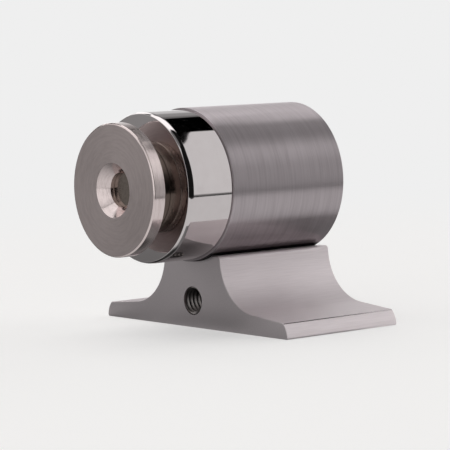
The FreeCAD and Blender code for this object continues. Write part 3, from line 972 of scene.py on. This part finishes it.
@dataclass
class Studio:
    """Plain pale floor, a light tent of panels and flags, and the camera.

    Levels are strengths of light, where 1 is white, and the room's is the tent's where no card hangs. Metal
    sees the floor as a table top that ends at table_mm, dark past gap_fade_mm. Angles are in degrees. The
    camera's target, distance, focal length and sensor are in millimetres.
    """

    background: float = 0.863
    room: float = 0.20

    # A card covers those before it
    cards: tuple[Card, ...] = (
        # Front left, dim: what the flat faces mirror
        Card(Wall.LEFT, (-1.50, -0.30), (-0.25, 1.20), 0.32, 0.05),
        Card(Wall.FRONT, (-1.20, -0.20), (-0.25, 1.00), 0.32, 0.05),
        # Rear left, brighter towards the floor: what the tops of the round sides mirror
        Card(Wall.LEFT, (0.30, 1.60), (0.04, 1.00), 0.35, 0.10),
        Card(Wall.LEFT, (0.30, 1.60), (0.04, 0.60), 0.66, 0.10),
        Card(Wall.LEFT, (0.30, 1.60), (0.04, 0.20), 1.10, 0.06),
        Card(Wall.LEFT, (0.34, 0.70), (0.14, 1.10), 1.40, 0.04),
        # Overhead, from the middle to the left
        Card(Wall.CEILING, (-2.40, 0.02), (-1.60, -0.30), 1.00, 0.05),
        Card(Wall.CEILING, (-2.40, 0.02), (-0.34, 0.60), 1.55, 0.05),
        # Low on the left, a dark flag between front and rear
        Card(Wall.LEFT, (-0.26, 0.30), (-0.25, 0.40), 0.03, 0.05),
        # Behind the camera
        Card(Wall.FRONT, (0.10, 0.96), (-0.25, 1.60), 0.80, 0.03),
        Card(Wall.FRONT, (0.10, 0.96), (-0.25, 0.90), 0.94, 0.10),
        # Behind the object, a wide panel near the background's level with bright panels and a flag on it
        Card(Wall.REAR, (-0.80, 1.56), (-0.25, 1.70), 0.80, 0.02),
        Card(Wall.REAR, (-0.95, 0.90), (-0.25, 0.62), 1.50, 0.10),
        Card(Wall.REAR, (0.26, 0.74), (0.40, 0.84), 2.10, 0.06),
        Card(Wall.REAR, (-0.66, -0.04), (0.03, 0.56), 1.80, 0.06),
        Card(Wall.REAR, (0.03, 0.26), (0.12, 1.02), 0.25, 0.04),
        # High behind the object, three black flags in an arc for the collar's polished side
        Card(Wall.REAR, (-0.38, -0.04), (1.08, 1.36), 0.00, 0.02),
        Card(Wall.REAR, (-0.63, -0.34), (0.98, 1.30), 0.00, 0.02),
        Card(Wall.REAR, (-0.81, -0.59), (0.86, 1.18), 0.00, 0.02),
        # Dark flags overhead, to the right and to the left, and a dark wall on the right
        Card(Wall.CEILING, (0.02, 0.88), (-0.30, 0.70), 0.01, 0.03),
        Card(Wall.CEILING, (-2.30, -0.76), (-0.30, 0.08), 0.05, 0.03),
        Card(Wall.RIGHT, (-1.00, 0.77), (-0.25, 1.90), 0.01, 0.02),
    )
    floor_half_m: float = 6.0
    floor_glow: float = 0.472
    floor_colour: str = "c8c6c4"
    mirrored_levels: tuple[float, float] = (0.20, 0.73)
    gradient_direction: tuple[float, float, float] = (0.96, 0.29, 0.0)
    gradient_mm: tuple[float, float] = (-50.0, 0.0)
    fade_mm: tuple[float, float] = (120.0, 400.0)
    table_mm: tuple[float, float] = (-150.0, 134.0)
    gap_fade_mm: tuple[float, float] = (119.0, 122.57)
    gap_level: float = 0.03
    shades: tuple[Shade, ...] = (
        Shade((0.0, -12.0), (30.0, 12.0), (0.6, 12.0), 0.28),
        Shade((0.0, 32.0), (29.0, 18.0), (1.0, 14.0), 0.40),
        Shade((-2.0, -25.0), (9.0, 5.0), (6.0, 4.0), 0.10),
    )
    azimuth: float = 50.665
    elevation: float = 4.945
    roll: float = -1.428
    target: tuple[float, float, float] = (3.716, -8.855, 21.233)
    distance: float = 476.14
    focal_length: float = 182.29
    sensor_width: float = 36.0
    nearest_m: float = 0.01

    def build_world(self) -> None:
        """Light the object with the tent's cards, and show the camera a plain pale background."""
        world = bpy.data.worlds.new("light_tent")
        world.use_nodes = True
        tree = world.node_tree
        tree.nodes.clear()
        coordinates = add_node(tree, "ShaderNodeTexCoord")
        direction = add_node(tree, "ShaderNodeSeparateXYZ", None, {0: coordinates.outputs["Generated"]})
        level: Any = self.room
        for card in self.cards:
            mixed = add_node(tree, "ShaderNodeMix", {"data_type": "FLOAT"}, {
                "Factor": card.mask(tree, direction), "A": level, "B": card.strength})
            level = mixed.outputs["Result"]
        white = srgb("ffffff")
        tent = add_node(tree, "ShaderNodeBackground", None, {"Color": white, "Strength": level})
        plain = add_node(tree, "ShaderNodeBackground", None, {"Color": white, "Strength": self.background})
        path = add_node(tree, "ShaderNodeLightPath")
        mix = add_node(tree, "ShaderNodeMixShader", None, {
            0: path.outputs["Is Camera Ray"], 1: tent, 2: plain})
        add_node(tree, "ShaderNodeOutputWorld", None, {"Surface": mix})
        bpy.context.scene.world = world

    def mirrored_paper(self, tree: NodeTree, place: NodeSocket) -> NodeSocket:
        """Paint what metal sees of the paper.

        It is darker to the front left, where no lamp stands, and close to the foot, and nearly black in the
        gap before its right end.

        Args:
            tree: the floor's node tree.
            place: the place on the floor.

        Returns:
            The socket of the glowing paper.
        """
        toward_lamps = add_node(tree, "ShaderNodeVectorMath", {"operation": "DOT_PRODUCT"}, {
            0: place, 1: self.gradient_direction})
        start, end = (edge * MM for edge in self.gradient_mm)
        gradient = add_node(tree, "ShaderNodeMapRange", SMOOTH, {
            "Value": toward_lamps.outputs["Value"], "From Min": start, "From Max": end})
        dim, bright = self.mirrored_levels
        level = add_node(tree, "ShaderNodeMapRange", None, {
            "Value": gradient, "To Min": dim, "To Max": bright})
        for shade in self.shades:
            level = add_node(tree, "ShaderNodeMath", {"operation": "MULTIPLY"}, {
                0: level, 1: shade.unshaded(tree, place)})
        axes = add_node(tree, "ShaderNodeSeparateXYZ", None, {0: place})
        gap_start, gap_full = (edge * MM for edge in self.gap_fade_mm)
        in_gap = add_node(tree, "ShaderNodeMapRange", SMOOTH, {
            "Value": axes.outputs["X"], "From Min": gap_start, "From Max": gap_full})
        seen = add_node(tree, "ShaderNodeMix", {"data_type": "FLOAT"}, {
            "Factor": in_gap, "A": level, "B": self.gap_level})
        glowing = add_node(tree, "ShaderNodeEmission", None, {"Strength": seen.outputs["Result"]})
        return glowing.outputs[0]

    def build_floor(self) -> Object:
        """Lay a floor of pale paper. Metal sees painted paper in its place, and the tent past its ends.

        Returns:
            The floor.
        """
        bm = bmesh.new()
        bmesh.ops.create_grid(bm, x_segments=1, y_segments=1, size=self.floor_half_m)
        floor = mesh_object("floor", bm)
        material, tree = new_material("pale_paper_floor")
        path = add_node(tree, "ShaderNodeLightPath")
        coordinates = add_node(tree, "ShaderNodeTexCoord")
        place = coordinates.outputs["Object"]
        paper = add_node(tree, "ShaderNodeBsdfDiffuse", None, {"Color": srgb(self.floor_colour)})
        paper_or_mirrored = add_node(tree, "ShaderNodeMixShader", None, {
            0: path.outputs["Is Glossy Ray"], 1: paper, 2: self.mirrored_paper(tree, place)})

        # Past both ends of the table top, a mirror looks through the floor at the tent
        axes = add_node(tree, "ShaderNodeSeparateXYZ", None, {0: place})
        left, right = (edge * MM for edge in self.table_mm)
        on_table = add_node(tree, "ShaderNodeMath", {"operation": "COMPARE"}, {
            0: axes.outputs["X"], 1: (right + left) / 2, 2: (right - left) / 2})
        off_table = add_node(tree, "ShaderNodeMath", {"operation": "SUBTRACT"}, {
            0: path.outputs["Is Glossy Ray"], 1: on_table})
        clear = add_node(tree, "ShaderNodeBsdfTransparent")
        table = add_node(tree, "ShaderNodeMixShader", None, {
            0: off_table, 1: paper_or_mirrored, 2: clear})

        # The camera sees the paper lit to the background's level, and only the background far away
        glow_level = add_node(tree, "ShaderNodeMath", {"operation": "MULTIPLY"}, {
            0: path.outputs["Is Camera Ray"], 1: self.floor_glow})
        glow = add_node(tree, "ShaderNodeEmission", None, {"Strength": glow_level})
        lit = add_node(tree, "ShaderNodeAddShader", None, {0: glow, 1: table})
        distance = add_node(tree, "ShaderNodeVectorMath", {"operation": "LENGTH"}, {0: place})
        near, far = (edge * MM for edge in self.fade_mm)
        faded = add_node(tree, "ShaderNodeMapRange", SMOOTH, {
            "Value": distance.outputs["Value"], "From Min": near, "From Max": far})
        fade_seen = add_node(tree, "ShaderNodeMath", {"operation": "MULTIPLY"}, {
            0: faded, 1: path.outputs["Is Camera Ray"]})
        plain = add_node(tree, "ShaderNodeEmission", None, {"Strength": self.background})
        surface = add_node(tree, "ShaderNodeMixShader", None, {
            0: fade_seen, 1: lit, 2: plain})
        finish_material(tree, surface)
        floor.data.materials.append(material)
        return floor

    def build_camera(self) -> Object:
        """Stand the camera where the photograph was taken from.

        Returns:
            The camera.
        """
        turn, tip, lean = (math.radians(angle) for angle in (self.azimuth, self.elevation, self.roll))
        back = Vector((math.sin(turn) * math.cos(tip), -math.cos(turn) * math.cos(tip), math.sin(tip)))
        level = Vector((math.cos(turn), math.sin(turn), 0.0))
        upright = back.cross(level)
        right = math.cos(lean) * level + math.sin(lean) * upright
        up = math.cos(lean) * upright - math.sin(lean) * level
        data = bpy.data.cameras.new("photo_camera")
        data.sensor_width = self.sensor_width
        data.lens = self.focal_length
        data.clip_start = self.nearest_m
        camera = bpy.data.objects.new("photo_camera", data)
        place = Vector(self.target) * MM + back * self.distance * MM
        camera.matrix_world = Matrix.Translation(place) @ Matrix((right, up, back)).transposed().to_4x4()
        bpy.context.scene.collection.objects.link(camera)
        bpy.context.scene.camera = camera
        return camera


def box_mm(node: str) -> tuple[Vector, Vector]:
    """Give a node's lowest and highest corners in millimetres.

    Args:
        node: the node's name.

    Returns:
        Its two corners.
    """
    low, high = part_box(node)
    return Vector(low) / MM, Vector(high) / MM


def main() -> None:
    """Build and dress every piece, then the studio."""
    logging.basicConfig(level=logging.INFO, format="%(message)s")
    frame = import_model()
    nodes = frame["nodes"]

    barrel_low, barrel_high = box_mm("barrel")
    axis_height = (barrel_low.z + barrel_high.z) / 2
    barrel = Barrel(
        diameter=barrel_high.x - barrel_low.x, length=barrel_high.y - barrel_low.y, front=barrel_low.y,
        axis_height=axis_height)
    barrel_piece = barrel.build()
    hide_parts("barrel")
    barrel.dress(barrel_piece)

    low, high = box_mm("collar")
    collar = Collar(
        diameter=high.x - low.x, length=barrel_low.y - low.y, front=low.y, axis_height=axis_height,
        spigot_end=high.y - low.y)
    collar_piece = collar.build()
    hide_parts("collar")
    collar.dress(collar_piece)

    low, high = box_mm("magnet")
    head = MagnetHead(diameter=high.x - low.x, axis_height=axis_height)
    magnet_piece = head.build_disc("magnet_disc", low.y, high.y - low.y)
    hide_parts("magnet")
    head.dress_magnet(magnet_piece)
    low, high = box_mm("pole_plate")
    plate_piece = head.build_disc("pole_plate_disc", low.y, high.y - low.y)
    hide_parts("pole_plate")
    head.dress_plate(plate_piece)

    low, high = box_mm("keeper_disc")
    keeper = KeeperDisc(
        diameter=high.x - low.x, thickness=high.y - low.y, front=low.y, axis_height=axis_height)
    keeper_piece = keeper.build()
    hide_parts("keeper_disc")
    keeper.dress(keeper_piece)

    foot_low, _ = box_mm("foot")
    screw_low, screw_high = box_mm("set_screw")
    foot = Foot(
        front=foot_low.y, hole_height=(screw_low.z + screw_high.z) / 2,
        major_diameter=screw_high.x - screw_low.x, screw_depth=screw_low.y - foot_low.y)
    foot.dress(nodes["foot"])
    foot.dress_thread(foot.build_thread())

    screw_finish = PlainSteel(
        name="screw_plain_stainless", colour="a8a6a4", shade_colour="9b9997", roughness=0.33,
        grain_mm=0.30, grain_height_mm=0.002)
    screw_steel = screw_finish.material()
    for name in ("barrel_screw", "set_screw"):
        dress_node(nodes[name], screw_steel)

    studio = Studio()
    studio.build_world()
    studio.build_floor()
    Flag().build()
    studio.build_camera()
    bpy.context.scene.view_settings.view_transform = "Standard"
    LOG.info("dressed %d nodes", len(nodes))


if __name__ == "__main__":
    main()
